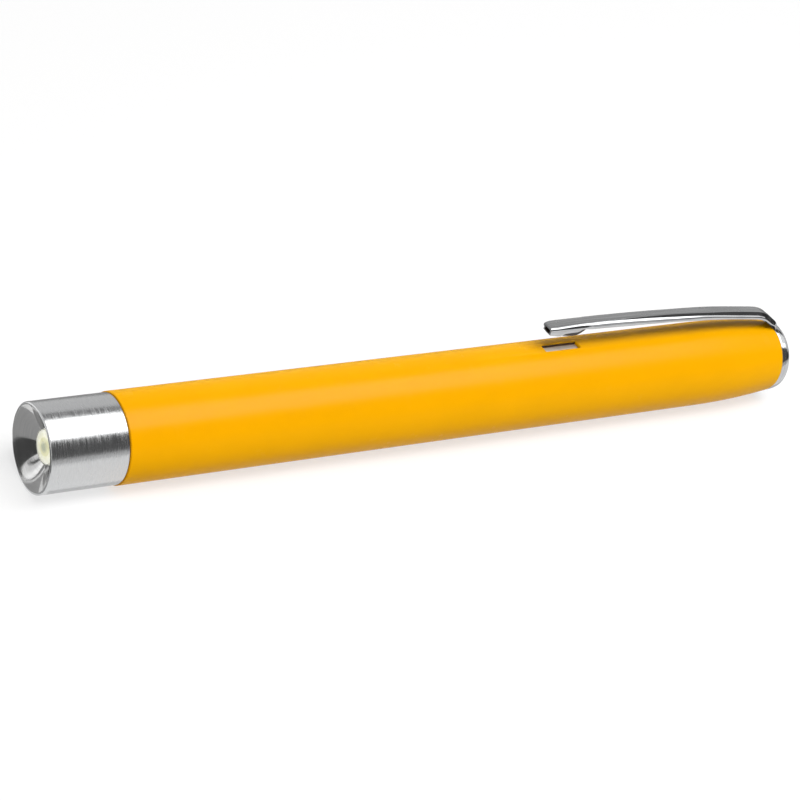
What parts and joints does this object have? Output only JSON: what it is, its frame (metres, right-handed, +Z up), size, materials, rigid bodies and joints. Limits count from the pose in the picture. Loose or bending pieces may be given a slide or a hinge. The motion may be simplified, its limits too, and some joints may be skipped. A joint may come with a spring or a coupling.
{
  "type": "penlight",
  "caption": "Slim pocket penlight with a lacquered metal barrel, a turned screw-off head with a small LED in a shallow cone, and a bright spring clip that switches it when pressed.",
  "frame": {"origin": "middle of the length, level with the underside of the barrel when the clip is up", "axes": "+X along the barrel from the head to the tail, +Z up through the clip"},
  "size_m": [0.1322, 0.0134, 0.018],
  "materials": {
    "lacquer": "smooth satin lacquer on aluminium",
    "turned_aluminium": "fine turned, bright",
    "bright_chrome": "polished plating on spring steel",
    "contact_metal": "nickel-plated spring strip",
    "brass": "turned brass",
    "clear_epoxy": "clear epoxy",
    "phosphor": "phosphor resin",
    "white_plastic": "moulded",
    "black_plastic": "moulded",
    "board": "solder-masked laminate",
    "cell_label": "shrink label, plain",
    "cell_metal": "nickel-plated steel"
  },
  "bodies": {
    "barrel": {"barrel": "lacquer", "thread_ring": "brass", "insulating_sleeve": "white_plastic", "spring_seat": "contact_metal", "seat_rivet": "contact_metal", "battery_spring": "contact_metal", "tail_plug": "black_plastic", "tail_insert": "brass", "contact_leaf": "contact_metal", "clip_ring": "bright_chrome", "tail_cap": "bright_chrome"},
    "cells": {"front_cell_can": "cell_label", "front_cell_cap": "cell_metal", "front_cell_seal": "black_plastic", "front_cell_base": "cell_metal", "rear_cell_can": "cell_label", "rear_cell_cap": "cell_metal", "rear_cell_seal": "black_plastic", "rear_cell_base": "cell_metal"},
    "head": {"head": "turned_aluminium", "led_lens": "clear_epoxy", "led_phosphor": "phosphor", "led_cathode": "contact_metal", "led_anode": "contact_metal", "lamp_holder": "white_plastic", "ground_ring": "brass", "lamp_board": "board", "contact_button": "brass", "series_resistor": "black_plastic", "lamp_retainer": "black_plastic"},
    "clip": {"clip_arm": "bright_chrome"}
  },
  "joints": [
    {"name": "cells_slide", "type": "slide", "parent": "barrel", "child": "cells", "axis": [-1, 0, 0], "range_m": [0, 0.0035], "deforming": ["battery_spring"]},
    {"name": "head_turn", "type": "hinge", "parent": "cells", "child": "head", "pos_m": [-0.0601, 0, 0.00675], "axis": [-1, 0, 0], "range_deg": [0, 1260]},
    {"name": "clip_press", "type": "hinge", "parent": "barrel", "child": "clip", "pos_m": [0.0611, 0, 0.01528], "axis": [0, -1, 0], "range_deg": [-2.5, 3.7], "stiffness_Nm_per_rad": 2}
  ],
  "couplings": [
    {"joint": "cells_slide", "follows": "head_turn", "m_per_rad": 0.00015915}
  ]
}
